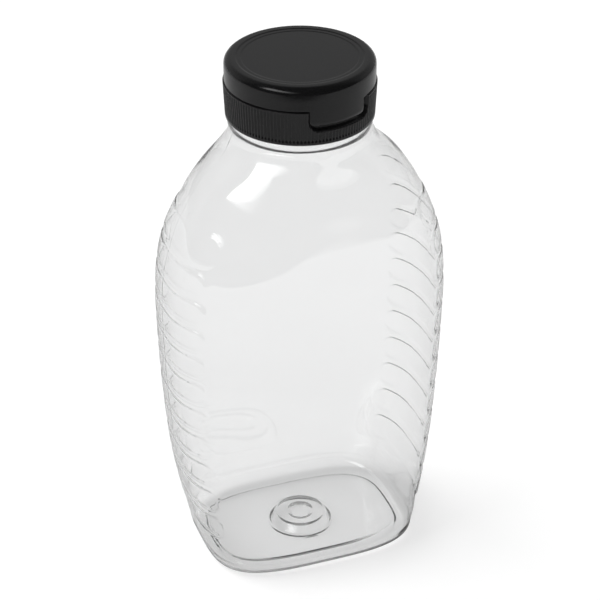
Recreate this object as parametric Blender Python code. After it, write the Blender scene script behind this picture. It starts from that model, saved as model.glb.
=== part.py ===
"""Empty clear bottle for syrup or honey, with a black flip-top dispensing cap.

Three pieces: the blown shell with its grip pads, the screw-on cap base with
its pouring hole, and the flip lid that swings on the hinge at the cap's back.
Sizes are in millimetres, and MM turns them into metres when a mesh is made.
The floor is z = 0, the bottle's axis is x = y = 0, and the front panel faces -Y.
"""
import math

import bmesh
import bpy
import numpy as np

MM = 0.001
GAP = 0.3

# Cross-sections of the blown body, each a squared oval
SECTION_HEIGHT = (4.0, 11.0, 31.0, 51.0, 71.0, 86.0, 96.0, 106.0, 113.0, 119.0, 125.0, 130.0, 134.0, 137.0)
HALF_WIDTH = (32.0, 33.8, 37.9, 40.0, 41.0, 41.2, 40.5, 38.02, 35.39, 32.13, 27.92, 22.65, 20.62, 19.4)
HALF_DEPTH = (24.5, 25.0, 24.9, 24.45, 25.0, 25.4, 24.7, 23.3, 22.17, 21.24, 20.23, 19.74, 19.42, 19.4)
SQUARENESS = (3.46, 3.3, 3.0, 2.92, 2.88, 2.85, 2.85, 2.94, 2.65, 2.44, 2.26, 2.15, 1.85, 2.0)
WALL = 1.0
WALL_ALLOWANCE = 0.1

# Heights of the rows of faces where no groove asks for one
SHOULDER_ROWS = (136.9, 133.5, 130.0, 126.5, 122.0, 118.0)
ROW_ABOVE_HEEL = 6.5
INSIDE_ROWS = (8.0, 20.0, 35.0, 50.0, 65.0, 80.0, 92.0, 102.0, 110.0, 118.0, 122.0, 126.5, 130.0, 133.0)

# Grip pads wrapped round both narrow sides, with a groove between neighbours
PAD_COUNT = 11
LOWEST_GROOVE = 12.6
GROOVE_PITCH = 9.66
PITCH_LOSS = 0.05
TOP_PAD_HEIGHT = 10.3
GROOVE_HALF_WIDTH = 1.0
PAD_RELIEF = 0.5
PAD_CORNER = 3.4
PAD_EDGE = 0.5
CORNER_ANGLE = math.radians(43.0)
PAD_END = 0.94
TOP_PAD_END = 1.0
END_LENGTH = 27.0
FADE_ABOVE = 5.0
FADE_BELOW = 5.0
PANEL_FADE_TOP = 136.0
PANEL_FADE = 45.0
PANEL_MIX_START = 0.55

# Heel, foot ring, recess and push-up of the base
HEEL_HEIGHT = 4.0
HEEL_RUN_X = 2.6
HEEL_RUN_Y = 4.4
FOOT_WIDTH = 0.9
RECESS_DEPTH = 1.0
RECESS_HALF_WIDTH = 28.1
RECESS_HALF_DEPTH = 18.1
RECESS_SQUARENESS = 3.3
RECESS_SQUARENESS_HALFWAY = 2.5
RECESS_SHRINK_INSIDE = 0.4
PUSH_UP_RADIUS = 9.3
PUSH_UP_HEIGHT = 2.4
PUSH_UP_SLOPE = 2.0
NUB_RADIUS = 3.2
NUB_HEIGHT = 1.3
NUB_SLOPE = 1.0

# Inner side of the heel: share of the heel's run, and height above the recess floor or the heel
INNER_HEEL_LOW = (0.55, 0.2)
INNER_HEEL_HIGH = (0.1, 0.8)

# Neck, from the bead below the cap to the rim inside it
BEAD_RADIUS = 19.95
BEAD_BOTTOM = 137.0
BEAD_TOP = 138.95
BEAD_ROUND = 0.3
NECK_RADIUS = 17.7
NECK_BORE_RADIUS = 15.5
NECK_RIM = 147.9
THROAT_RADIUS = 17.3
THROAT_HEIGHT = 136.4
BORE_START = 138.4

# Cap base: tapered skirt, deck and pouring spout
CAP_TURN = math.radians(10.8)
SKIRT_BOTTOM = 139.43
SKIRT_BOTTOM_RADIUS = 20.55
SKIRT_TOP_RADIUS = 21.05
SKIRT_BORE_RADIUS = 18.4
SEAM = 149.35
DECK_TOP = 150.3
DECK_UNDERSIDE = NECK_RIM + GAP
DECK_STEP_RADIUS = 19.2
SPOUT_RADIUS = 5.4
SPOUT_TOP = 152.5
SPOUT_FOOT = 0.8
SPOUT_CHAMFER = 0.4
ORIFICE_RADIUS = 3.175
ORIFICE_CHAMFER = 0.3

# Thumb recess in the skirt, as angles from the cap's front
RECESS_START = math.radians(-25.0)
RECESS_END = math.radians(30.2)
RECESS_FLOOR_RADIUS = 19.2
RECESS_BOTTOM = 143.6
RECESS_CORNER = 3.0
CORNER_STEPS = 4
CUTTER_ABOVE = 0.4
CUTTER_OUTSIDE = 2.0
CUTTER_TOP_STEPS = 9
CUTTER_BOTTOM_STEPS = 7

# Flip lid: band, rounded rim, dished top, front lip and plug
LID_RADIUS = 20.7
LID_BORE_RADIUS = 19.6
LID_TOP = 156.2
LID_RIM_ROUND = 1.9
LID_DISH_RADIUS = 17.4
LID_DISH_DEPTH = 0.2
LID_DISH_SLOPE = 0.4
LID_CEILING = 154.7
PLUG_RADIUS = 2.6
PLUG_BOTTOM = 151.9
PLUG_CHAMFER = 0.4
LIP_HALF_ANGLE = math.radians(24.0)
LIP_BOTTOM = 145.3
LIP_CORNER = 1.2
LIP_CORNER_RISE = 0.7
LIP_END_STEP = math.radians(0.4)
CLEAR_OF_LIP_END = math.radians(1.5)

# Hinge at the back of the cap, level with the seam
HINGE_OFFSET = 21.25
HINGE_HEIGHT = SEAM + 0.15
HINGE_HALF_ANGLE = math.radians(14.0)
LID_HINGE_PAD = 0.45
SKIRT_HINGE_PAD = 0.1
HINGE_PAD_HEIGHT = 2.4
HINGE_PAD_RAMP = math.radians(4.0)
HINGE_PAD_CHAMFER = 0.6

TURN_STEPS = 60
RIM_STEPS = 4
HEEL_STEPS = 4
SMOOTH_ANGLE = math.radians(35.0)
MERGE_DISTANCE = 1e-6


def clear_scene():
    for thing in list(bpy.data.objects):
        bpy.data.objects.remove(thing, do_unlink=True)


def plastic(name, colour, roughness, transmission=0.0):
    """A moulded plastic: one colour, with a gloss set by its roughness."""
    material = bpy.data.materials.new(name)
    material.use_nodes = True
    shader = material.node_tree.nodes["Principled BSDF"]
    shader.inputs["Base Color"].default_value = (*colour, 1.0)
    shader.inputs["Roughness"].default_value = roughness
    shader.inputs["Metallic"].default_value = 0.0
    shader.inputs["Transmission Weight"].default_value = transmission
    return material


def make_object(name, points, faces, material, origin=(0.0, 0.0, 0.0), turn=0.0):
    """A mesh object whose points, in millimetres, are taken relative to its origin."""
    mesh = bpy.data.meshes.new(name)
    local = (np.asarray(points, float) - np.asarray(origin, float)) * MM
    mesh.from_pydata(local.tolist(), [], faces)
    work = bmesh.new()
    work.from_mesh(mesh)
    bmesh.ops.remove_doubles(work, verts=work.verts, dist=MERGE_DISTANCE)
    bmesh.ops.triangulate(work, faces=work.faces)
    bmesh.ops.recalc_face_normals(work, faces=work.faces)
    work.to_mesh(mesh)
    work.free()
    mesh.shade_smooth()
    mesh.set_sharp_from_angle(angle=SMOOTH_ANGLE)
    mesh.materials.append(material)
    thing = bpy.data.objects.new(name, mesh)
    spot = np.asarray(origin, float) * MM
    c, s = math.cos(turn), math.sin(turn)
    thing.location = (spot[0] * c - spot[1] * s, spot[0] * s + spot[1] * c, spot[2])
    thing.rotation_euler = (0.0, 0.0, turn)
    bpy.context.scene.collection.objects.link(thing)
    return thing


def smooth_curve(height, values):
    """Cubic through the section values, with slopes from their neighbours."""
    stations = np.asarray(SECTION_HEIGHT)
    values = np.asarray(values)
    slopes = np.gradient(values, stations)
    i = int(np.clip(np.searchsorted(stations, height) - 1, 0, len(stations) - 2))
    span = stations[i + 1] - stations[i]
    t = (height - stations[i]) / span
    start = (1 + 2 * t) * (1 - t) ** 2 * values[i] + t * (1 - t) ** 2 * span * slopes[i]
    end = t * t * (3 - 2 * t) * values[i + 1] - t * t * (1 - t) * span * slopes[i + 1]
    return start + end


def body_section(height):
    """Half width, half depth and squareness of the outer wall at a height."""
    return tuple(smooth_curve(height, table) for table in (HALF_WIDTH, HALF_DEPTH, SQUARENESS))


def smoothstep(value):
    t = min(max(value, 0.0), 1.0)
    return t * t * (3 - 2 * t)


def wall_columns():
    """Columns round the body as (zone, which of the two, fraction of the zone's half breadth)."""
    side = (-1.0, -0.86, -0.72, -0.4, 0.0, 0.4, 0.72, 0.86, 1.0)
    panel = (0.88, 0.6, 0.3, 0.0, -0.3, -0.6, -0.88)
    columns = [("side", 1, f) for f in side]
    columns += [("panel", 1, f) for f in panel]
    columns += [("side", -1, -f) for f in side]
    columns += [("panel", -1, -f) for f in panel]
    return columns


def outline_point(column, a, b, n, inset):
    """Point of the squared oval |x/a|^n + |y/b|^n = 1, moved in along its normal."""
    zone, sign, fraction = column
    if zone == "side":
        v = fraction * math.sin(CORNER_ANGLE) ** (2 / n)
        u = sign * (1 - abs(v) ** n) ** (1 / n)
    else:
        u = fraction * math.cos(CORNER_ANGLE) ** (2 / n)
        v = sign * (1 - abs(u) ** n) ** (1 / n)
    normal = np.array([math.copysign(abs(u) ** (n - 1) / a, u), math.copysign(abs(v) ** (n - 1) / b, v)])
    normal /= np.linalg.norm(normal)
    return np.array([u * a, v * b]) - inset * normal


def groove_heights():
    """Heights of the grooves, bottom to top; the pads grow shorter upwards."""
    heights = [LOWEST_GROOVE + GROOVE_PITCH * k - PITCH_LOSS * k * k for k in range(PAD_COUNT)]
    return heights + [heights[-1] + TOP_PAD_HEIGHT]


def pad_fill(height, fraction, grooves):
    """1 on a grip pad and 0 beside it: each pad is a rectangle with round ends."""
    for k in range(PAD_COUNT):
        low, high = grooves[k], grooves[k + 1]
        if low <= height < high:
            end = TOP_PAD_END if k == PAD_COUNT - 1 else PAD_END
            half = (high - low) / 2 - GROOVE_HALF_WIDTH
            up = abs(height - (low + high) / 2) - (half - PAD_CORNER)
            out = (abs(fraction) - end) * END_LENGTH + PAD_CORNER
            distance = math.hypot(max(up, 0), max(out, 0)) + min(max(up, out), 0) - PAD_CORNER
            return smoothstep(0.5 - distance / PAD_EDGE)
    return 0.0


def relief_at(height, column, grooves):
    """How far the wall lies inside the section: the pads alone stand at full size.

    Beside the pads this ends just above the top one, and on the panels it dies out slowly up to the neck.
    """
    zone, _, fraction = column
    beside_pads = smoothstep((grooves[-1] + FADE_ABOVE - height) / FADE_ABOVE)
    on_panel = smoothstep((PANEL_FADE_TOP - height) / PANEL_FADE)
    mix = 1.0 if zone == "panel" else smoothstep((abs(fraction) - PANEL_MIX_START) / (1 - PANEL_MIX_START))
    fade = beside_pads + (on_panel - beside_pads) * mix
    fade *= smoothstep((height - grooves[0] + FADE_BELOW) / FADE_BELOW)
    pad = pad_fill(height, fraction, grooves) if zone == "side" else 0.0
    return PAD_RELIEF * fade * (1 - pad)


def shell_rows(grooves):
    """Rows of the closed wall, from the rim down outside, then up inside.

    A row is (half width, half depth, squareness, height, inset, side columns only), and its
    inset is one number, or a list with one for each column.
    """
    columns = wall_columns()
    rows = []

    def circle(radius, height):
        rows.append((radius, radius, 2.0, height, 0.0, False))

    def wall(height, relief=True, side_only=False, extra=0.0):
        insets = [extra + (relief_at(height, c, grooves) if relief else 0.0) for c in columns]
        rows.append((*body_section(height), height, insets, side_only))

    circle(NECK_BORE_RADIUS, NECK_RIM)
    circle(NECK_RADIUS, NECK_RIM)
    circle(NECK_RADIUS, BEAD_TOP)
    circle(BEAD_RADIUS - BEAD_ROUND, BEAD_TOP)
    circle(BEAD_RADIUS, BEAD_TOP - BEAD_ROUND)
    circle(BEAD_RADIUS, BEAD_BOTTOM + BEAD_ROUND)
    for height in SHOULDER_ROWS:
        wall(height)
    for k in range(PAD_COUNT, -1, -1):
        wall(grooves[k] + GROOVE_HALF_WIDTH + PAD_EDGE, side_only=k < PAD_COUNT)
        wall(grooves[k], side_only=True)
        wall(grooves[k] - GROOVE_HALF_WIDTH - PAD_EDGE, side_only=k % 2 == 1)
        if k > 0:
            wall((grooves[k] + grooves[k - 1]) / 2, side_only=True)
    wall(ROW_ABOVE_HEEL)
    heel_rows(rows)
    base_rows(rows, 0.0)
    inner = []
    base_rows(inner, WALL)
    rows.extend(reversed(inner))
    inside_heel(rows)
    for height in INSIDE_ROWS:
        fade = smoothstep((grooves[-1] + FADE_ABOVE - height) / FADE_ABOVE)
        wall(height, relief=False, extra=WALL + WALL_ALLOWANCE + PAD_RELIEF * fade)
    circle(THROAT_RADIUS, THROAT_HEIGHT)
    circle(NECK_BORE_RADIUS, BORE_START)
    return rows


def heel_rows(rows):
    """Quarter-ellipse heel from the upright wall down to the foot ring."""
    a, b, n = body_section(HEEL_HEIGHT)
    for step in range(HEEL_STEPS + 1):
        angle = math.pi / 2 * step / HEEL_STEPS
        inward = 1 - math.cos(angle)
        drop = HEEL_HEIGHT * math.sin(angle)
        rows.append((a - HEEL_RUN_X * inward, b - HEEL_RUN_Y * inward, n, HEEL_HEIGHT - drop, 0.0, False))
    rows.append((a - HEEL_RUN_X - FOOT_WIDTH, b - HEEL_RUN_Y - FOOT_WIDTH, n, 0.0, 0.0, False))


def inside_heel(rows):
    """Inner side of the heel, a wall's thickness in from the outer one."""
    a, b, n = body_section(HEEL_HEIGHT)
    floor = RECESS_DEPTH + WALL
    for (inward, above), level in ((INNER_HEEL_LOW, floor), (INNER_HEEL_HIGH, HEEL_HEIGHT)):
        width = a - WALL - HEEL_RUN_X * inward
        depth = b - WALL - HEEL_RUN_Y * inward
        rows.append((width, depth, n, level + above, 0.0, False))


def base_rows(rows, lift):
    """Recess floor, push-up and central nub, ending at the middle of the base."""
    shrink = 0.0 if lift == 0.0 else RECESS_SHRINK_INSIDE
    floor = RECESS_DEPTH + lift
    edge = (RECESS_HALF_WIDTH - shrink, RECESS_HALF_DEPTH - shrink)
    rows.append((*edge, RECESS_SQUARENESS, floor, 0.0, False))
    halfway = (RECESS_HALF_WIDTH + PUSH_UP_RADIUS) / 2, (RECESS_HALF_DEPTH + PUSH_UP_RADIUS) / 2
    rows.append((*halfway, RECESS_SQUARENESS_HALFWAY, floor, 0.0, False))
    nub_floor = PUSH_UP_HEIGHT - NUB_HEIGHT
    for radius, height in ((PUSH_UP_RADIUS, 0.0), (PUSH_UP_RADIUS - PUSH_UP_SLOPE, PUSH_UP_HEIGHT),
                           (NUB_RADIUS + NUB_SLOPE, PUSH_UP_HEIGHT), (NUB_RADIUS, nub_floor), (0.0, nub_floor)):
        rows.append((radius, radius, 2.0, floor + height, 0.0, False))


def build_shell(material):
    """Bottle wall as one skin: columns of points joined to their neighbours."""
    grooves = groove_heights()
    columns = wall_columns()
    rows = shell_rows(grooves)
    points = []
    ladders = [[] for _ in columns]
    for number, row in enumerate(rows):
        a, b, n, height, inset, side_only = row
        if a == 0.0:
            points.append((0.0, 0.0, height))
            for ladder in ladders:
                ladder.append((number, len(points) - 1))
            continue
        for index, column in enumerate(columns):
            if side_only and column[0] == "panel":
                continue
            depth = inset[index] if isinstance(inset, list) else inset
            x, y = outline_point(column, a, b, n, depth)
            points.append((x, y, height))
            ladders[index].append((number, len(points) - 1))
    faces = []
    for left, right in zip(ladders, ladders[1:] + ladders[:1]):
        faces += join_ladders(close_ladder(left), close_ladder(right))
    return make_object("bottle_shell", points, faces, material)


def close_ladder(ladder):
    """Repeat the first rung at the end, so the wall closes at the rim."""
    last = ladder[-1][0] + 1
    return ladder + [(last, ladder[0][1])]


def join_ladders(left, right):
    """Faces between two columns of points, which may have different rows."""
    faces = []
    i = j = 0
    while i < len(left) - 1 or j < len(right) - 1:
        next_left = left[i + 1][0] if i < len(left) - 1 else math.inf
        next_right = right[j + 1][0] if j < len(right) - 1 else math.inf
        if next_left == next_right:
            corners = [left[i][1], left[i + 1][1], right[j + 1][1], right[j][1]]
            i, j = i + 1, j + 1
        elif next_left < next_right:
            corners = [left[i][1], left[i + 1][1], right[j][1]]
            i += 1
        else:
            corners = [left[i][1], right[j + 1][1], right[j][1]]
            j += 1
        face = list(dict.fromkeys(corners))
        if len(face) > 2:
            faces.append(face)
    return faces


def turned(profile, angles):
    """Points and faces of a closed turned ring; profile gives (radius, height) at an angle."""
    points = []
    faces = []
    count = len(profile(angles[0]))
    for angle in angles:
        for radius, height in profile(angle):
            points.append((radius * math.sin(angle), -radius * math.cos(angle), height))
    total = len(angles)
    for i in range(total):
        k = (i + 1) % total
        for j in range(count):
            m = (j + 1) % count
            faces.append([i * count + j, i * count + m, k * count + m, k * count + j])
    return points, faces


def hinge_pad(angle, full):
    """How far a hinge pad stands out at an angle: full at the back and nothing elsewhere."""
    from_back = abs(math.remainder(angle - math.pi, 2 * math.pi))
    return full * smoothstep((HINGE_HALF_ANGLE - from_back) / HINGE_PAD_RAMP + 0.5)


def skirt_radius(height):
    """Radius of the tapered skirt's outside at a height."""
    share = (height - SKIRT_BOTTOM) / (SEAM - SKIRT_BOTTOM)
    return SKIRT_BOTTOM_RADIUS + share * (SKIRT_TOP_RADIUS - SKIRT_BOTTOM_RADIUS)


def build_cap_base(material):
    """Tapered skirt, deck with a raised spout round the pouring hole, thumb recess."""
    pad_foot = SEAM - HINGE_PAD_HEIGHT
    pad_start = pad_foot + HINGE_PAD_CHAMFER
    inside = [
        (DECK_STEP_RADIUS, SEAM),
        (DECK_STEP_RADIUS, DECK_TOP),
        (SPOUT_RADIUS + SPOUT_FOOT, DECK_TOP),
        (SPOUT_RADIUS, DECK_TOP + SPOUT_FOOT),
        (SPOUT_RADIUS, SPOUT_TOP - SPOUT_CHAMFER),
        (SPOUT_RADIUS - SPOUT_CHAMFER, SPOUT_TOP),
        (ORIFICE_RADIUS + ORIFICE_CHAMFER, SPOUT_TOP),
        (ORIFICE_RADIUS, SPOUT_TOP - ORIFICE_CHAMFER),
        (ORIFICE_RADIUS, DECK_UNDERSIDE),
        (SKIRT_BORE_RADIUS, DECK_UNDERSIDE),
    ]

    def profile(angle):
        pad = hinge_pad(angle, SKIRT_HINGE_PAD)
        outside = [(SKIRT_BORE_RADIUS, SKIRT_BOTTOM), (SKIRT_BOTTOM_RADIUS, SKIRT_BOTTOM)]
        outside += [(skirt_radius(pad_foot), pad_foot), (skirt_radius(pad_start) + pad, pad_start)]
        return outside + [(SKIRT_TOP_RADIUS + pad, SEAM)] + inside

    angles = [2 * math.pi * i / TURN_STEPS for i in range(TURN_STEPS)]
    points, faces = turned(profile, angles)
    base = make_object("cap_base", points, faces, material, turn=CAP_TURN)
    cutter = build_recess_cutter(material)
    cut = base.modifiers.new("thumb recess", "BOOLEAN")
    cut.operation = "DIFFERENCE"
    cut.solver = "EXACT"
    cut.object = cutter
    return base


def build_recess_cutter(material):
    """Block of the thumb recess: a rounded outline on the skirt, carried outwards."""
    radius = SKIRT_TOP_RADIUS
    low_left = (RECESS_START * radius + RECESS_CORNER, RECESS_BOTTOM + RECESS_CORNER)
    low_right = (RECESS_END * radius - RECESS_CORNER, RECESS_BOTTOM + RECESS_CORNER)
    outline = []
    for middle, start in ((low_left, math.pi), (low_right, 1.5 * math.pi)):
        corner = []
        for step in range(CORNER_STEPS + 1):
            angle = start + math.pi / 2 * step / CORNER_STEPS
            corner.append((middle[0] + RECESS_CORNER * math.cos(angle),
                           middle[1] + RECESS_CORNER * math.sin(angle)))
        outline += corner
        if middle is low_left:
            bottom = np.linspace(low_left[0], low_right[0], CUTTER_BOTTOM_STEPS + 1)[1:-1]
            outline += [(s, RECESS_BOTTOM) for s in bottom]
    top = np.linspace(low_right[0] + RECESS_CORNER, low_left[0] - RECESS_CORNER, CUTTER_TOP_STEPS + 1)
    outline += [(s, SEAM + CUTTER_ABOVE) for s in top]
    points = []
    for depth in (RECESS_FLOOR_RADIUS, SKIRT_TOP_RADIUS + CUTTER_OUTSIDE):
        for along, height in outline:
            angle = along / radius
            points.append((depth * math.sin(angle), -depth * math.cos(angle), height))
    count = len(outline)
    faces = [[i, (i + 1) % count, count + (i + 1) % count, count + i] for i in range(count)]
    faces += cap_faces(outline, 0) + cap_faces(outline, count)
    cutter = make_object("thumb_recess_cutter", points, faces, material, turn=CAP_TURN)
    cutter.hide_render = True
    cutter.display_type = "WIRE"
    return cutter


def cap_faces(outline, start):
    """Upright strips that close the curved face of the recess block."""
    lower = sorted(range(len(outline)), key=lambda i: outline[i][0])
    tops = [i for i in lower if outline[i][1] > SEAM]
    bottoms = [i for i in lower if outline[i][1] <= SEAM]
    faces = []
    i = j = 0
    while i < len(tops) - 1 or j < len(bottoms) - 1:
        next_top = outline[tops[i + 1]][0] if i < len(tops) - 1 else math.inf
        next_bottom = outline[bottoms[j + 1]][0] if j < len(bottoms) - 1 else math.inf
        if next_top <= next_bottom:
            faces.append([start + tops[i], start + tops[i + 1], start + bottoms[j]])
            i += 1
        else:
            faces.append([start + tops[i], start + bottoms[j + 1], start + bottoms[j]])
            j += 1
    return faces


def lid_angles():
    """Angles round the lid, closer together at the two ends of the front lip."""
    regular = [2 * math.pi * i / TURN_STEPS - math.pi for i in range(TURN_STEPS)]
    corner = LIP_CORNER / LID_RADIUS
    edges = []
    for sign in (-1, 1):
        for away in (LIP_END_STEP, 0.0, -corner):
            edges.append(sign * (LIP_HALF_ANGLE + away))
    keep = [a for a in regular if all(abs(a - e) > CLEAR_OF_LIP_END for e in edges)]
    return sorted(keep + edges)


def lid_bottom(angle):
    """Height of the band's lower edge: at the seam, and lower along the lip."""
    away = LIP_HALF_ANGLE - abs(angle)
    if away < -1e-9:
        return SEAM + GAP
    return LIP_BOTTOM + LIP_CORNER_RISE * max(0.0, 1 - away * LID_RADIUS / LIP_CORNER)


def build_lid(material):
    """Flip lid: a shallow cup with a rounded rim, a lip and a plug for the hole."""
    rim = []
    for step in range(RIM_STEPS + 1):
        angle = math.pi / 2 * step / RIM_STEPS
        rim.append((LID_RADIUS - LID_RIM_ROUND * (1 - math.cos(angle)),
                    LID_TOP - LID_RIM_ROUND * (1 - math.sin(angle))))

    def profile(angle):
        low = lid_bottom(angle)
        pad_top = SEAM + GAP + HINGE_PAD_HEIGHT
        pad = LID_RADIUS + hinge_pad(angle, LID_HINGE_PAD)
        dish = LID_TOP - LID_DISH_DEPTH
        outside = [(pad, low), (pad, pad_top - HINGE_PAD_CHAMFER), (LID_RADIUS, pad_top)] + rim
        outside += [(LID_DISH_RADIUS, LID_TOP), (LID_DISH_RADIUS - LID_DISH_SLOPE, dish), (0.0, dish)]
        inside = [(0.0, PLUG_BOTTOM), (PLUG_RADIUS - PLUG_CHAMFER, PLUG_BOTTOM)]
        inside += [(PLUG_RADIUS, PLUG_BOTTOM + PLUG_CHAMFER)]
        inside += [(PLUG_RADIUS, LID_CEILING), (LID_BORE_RADIUS, LID_CEILING), (LID_BORE_RADIUS, low)]
        return outside + inside

    points, faces = turned(profile, lid_angles())
    count = len(profile(0.0))
    top = len(rim) + 5
    faces = [face for face in faces if not {top, top + 1} <= {corner % count for corner in face}]
    hinge = (0.0, HINGE_OFFSET, HINGE_HEIGHT)
    return make_object("flip_lid", points, faces, material, origin=hinge, turn=CAP_TURN)


def main():
    clear_scene()
    clear_plastic = plastic("clear_plastic", (0.93, 0.94, 0.94), 0.04, transmission=1.0)
    black_plastic = plastic("black_plastic", (0.02, 0.02, 0.021), 0.32)
    gloss_black = plastic("black_lid_plastic", (0.025, 0.025, 0.026), 0.22)
    build_shell(clear_plastic)
    build_cap_base(black_plastic)
    build_lid(gloss_black)


main()
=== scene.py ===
"""Looks of an empty clear honey bottle with a black flip-top cap."""
import math

import bmesh
import bpy
import numpy as np
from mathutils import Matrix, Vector


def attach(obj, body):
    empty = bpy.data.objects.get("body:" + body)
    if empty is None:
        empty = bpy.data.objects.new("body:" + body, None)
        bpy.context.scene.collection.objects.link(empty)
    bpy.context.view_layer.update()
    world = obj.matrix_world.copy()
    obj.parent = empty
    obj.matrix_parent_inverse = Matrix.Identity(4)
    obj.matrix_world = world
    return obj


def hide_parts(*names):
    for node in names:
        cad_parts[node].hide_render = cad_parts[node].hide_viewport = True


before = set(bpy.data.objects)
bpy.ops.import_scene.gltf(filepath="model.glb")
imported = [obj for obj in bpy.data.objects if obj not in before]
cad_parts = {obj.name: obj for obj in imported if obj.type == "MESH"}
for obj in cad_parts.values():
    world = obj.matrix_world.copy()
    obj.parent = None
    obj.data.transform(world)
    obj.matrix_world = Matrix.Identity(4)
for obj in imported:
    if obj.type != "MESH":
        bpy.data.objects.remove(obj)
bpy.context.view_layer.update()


# The bottle: clear polyester, blown in a two-part mould to a wall about half a
# millimetre thick. Its plan is a squared oval from the foot to the neck, and the
# mould's halves meet down the middle of both grips. Its sizes are in millimetres.

MM = 0.001
SECTION_HEIGHT = np.array([4.0, 11.0, 31.0, 51.0, 71.0, 86.0, 96.0,
                           106.0, 113.0, 119.0, 125.0, 130.0, 134.0, 137.0])
HALF_WIDTH = np.array([32.0, 33.8, 37.9, 40.0, 41.0, 41.2, 40.5,
                       38.02, 35.39, 32.13, 27.92, 22.65, 20.62, 19.4])
HALF_DEPTH = np.array([24.5, 25.0, 24.9, 24.45, 25.0, 25.4, 24.7,
                       23.3, 22.17, 21.24, 20.23, 19.74, 19.42, 19.4])
SQUARENESS = np.array([3.46, 3.3, 3.0, 2.92, 2.88, 2.85, 2.85,
                       2.94, 2.65, 2.44, 2.26, 2.15, 1.85, 2.0])
WALL = 0.5
SHOULDER_WALL = 0.8
SHOULDER_START = 105.0
SHOULDER_LENGTH = 25.0
OUTSIDE_TOP = 136.8
INSIDE_TOP = 134.5
CORNER_ANGLE = math.radians(43.0)

PAD_COUNT = 11
LOWEST_GROOVE = 12.6
GROOVE_PITCH = 9.66
PITCH_LOSS = 0.05
TOP_PAD_HEIGHT = 10.3
GROOVE_HALF_WIDTH = 1.0
PAD_RELIEF = 0.5
GRIP_MIDDLE_SHARE = 0.25
PAD_CORNER = 3.6
PAD_TOP_EDGE = 0.7
PAD_LOW_EDGE = 1.6
PAD_END_EDGE = 0.6
PAD_END = 0.94
TOP_PAD_END = 1.0
END_REACH = 27.0
FADE = 5.0
PANEL_FADE_TOP = 136.0
PANEL_FADE = 45.0
PANEL_MIX_START = 0.55
SEAM_RIDGE = 0.015
SEAM_WIDTH = 0.22
SEAM_REACH = 19.5
ROW_CROWDING = 0.6
ROWS_BY_HEEL = 10

HEEL_HEIGHT = 4.0
HEEL_RUN_X = 2.6
HEEL_RUN_Y = 4.4
FOOT_WIDTH = 0.9
RECESS_DEPTH = 1.0
RECESS_HALF_WIDTH = 27.4
RECESS_HALF_DEPTH = 17.4
RECESS_SQUARENESS = 3.3
RECESS_APRON = 1.5
PUSH_UP_RADIUS = 9.3
PUSH_UP_HEIGHT = 2.4
PUSH_UP_SLOPE = 2.4
PUSH_UP_GROOVE = 0.35
PUSH_UP_GROOVE_WIDTH = 0.5
NUB_RADIUS = 3.2
NUB_HEIGHT = 1.3
NUB_SLOPE = 1.6
BASE_WALL = 0.9
BASE_TAPER = 0.4

BEAD_RADIUS = 19.95
BEAD_BOTTOM = 137.0
BEAD_TOP = 138.95
BEAD_ROUND = 0.3
BEAD_CUT = 0.09
NECK_RADIUS = 17.7
NECK_FOOT_RADIUS = 19.5
NECK_BORE_RADIUS = 15.5
NECK_RIM = 147.9
NECK_EDGE = 0.2

BOTTLE_COLOUR = (0.968, 0.970, 0.970, 1.0)
BOTTLE_IOR = 1.575
BOTTLE_ROUGHNESS = 0.035
BOTTLE_WAVE = 0.12
BOTTLE_BUMP = 0.0004
CLEAR_FACE_TINT = 0.999
GLANCING_FACE_TINT = 0.95
HEEL_SHADE = 0.45
HEEL_SHADE_TOP = 17.0
HEEL_SHADE_FOOT = 5.0


def smoothstep(value):
    """0 below 0, 1 above 1, and 3t^2 - 2t^3 between."""
    t = np.clip(value, 0.0, 1.0)
    return t * t * (3 - 2 * t)


def section_curve(height, values):
    """Cubic through the values at SECTION_HEIGHT, each slope the mean of its two neighbours' chords."""
    slopes = np.gradient(values, SECTION_HEIGHT)
    i = np.clip(np.searchsorted(SECTION_HEIGHT, height) - 1, 0, len(SECTION_HEIGHT) - 2)
    span = SECTION_HEIGHT[i + 1] - SECTION_HEIGHT[i]
    t = (height - SECTION_HEIGHT[i]) / span
    near = (1 + 2 * t) * (1 - t) ** 2 * values[i] + t * (1 - t) ** 2 * span * slopes[i]
    far = t * t * (3 - 2 * t) * values[i + 1] - t * t * (1 - t) * span * slopes[i + 1]
    return near + far


def body_section(height):
    """Half width, half depth and squareness of the wall's outside at each height."""
    return [section_curve(height, table) for table in (HALF_WIDTH, HALF_DEPTH, SQUARENESS)]


def groove_heights():
    """Heights of the grooves, bottom to top: the pitch shrinks evenly, and the top pad is taller."""
    k = np.arange(PAD_COUNT)
    heights = LOWEST_GROOVE + GROOVE_PITCH * k - PITCH_LOSS * k * k
    return np.append(heights, heights[-1] + TOP_PAD_HEIGHT)


def wall_columns():
    """Columns round the wall: (on a side, sign, fraction), close at the mould's seam and the pads' ends.
    The fraction runs from 0 at the middle of a side or a panel to 1 at its corner. On a side, a step of 1
    is about SEAM_REACH long next to the seam and END_REACH long by the pads' ends."""
    seam = np.array([0.0, 0.011, 0.022])
    half = np.concatenate([seam, np.linspace(0.06, 0.76, 11), np.linspace(0.785, 1.0, 13)])
    side = np.concatenate([-half[:0:-1], half])
    lane = np.concatenate([np.linspace(0.985, 0.8, 6), np.linspace(0.7, 0.07, 6)])
    panel = np.concatenate([lane, -lane[::-1]])
    on_side = np.concatenate([np.ones(len(side)), np.zeros(len(panel))] * 2).astype(bool)
    sign = np.repeat([1.0, -1.0], len(side) + len(panel))
    fraction = np.concatenate([side, panel, -side, -panel])
    return on_side, sign, fraction


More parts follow.
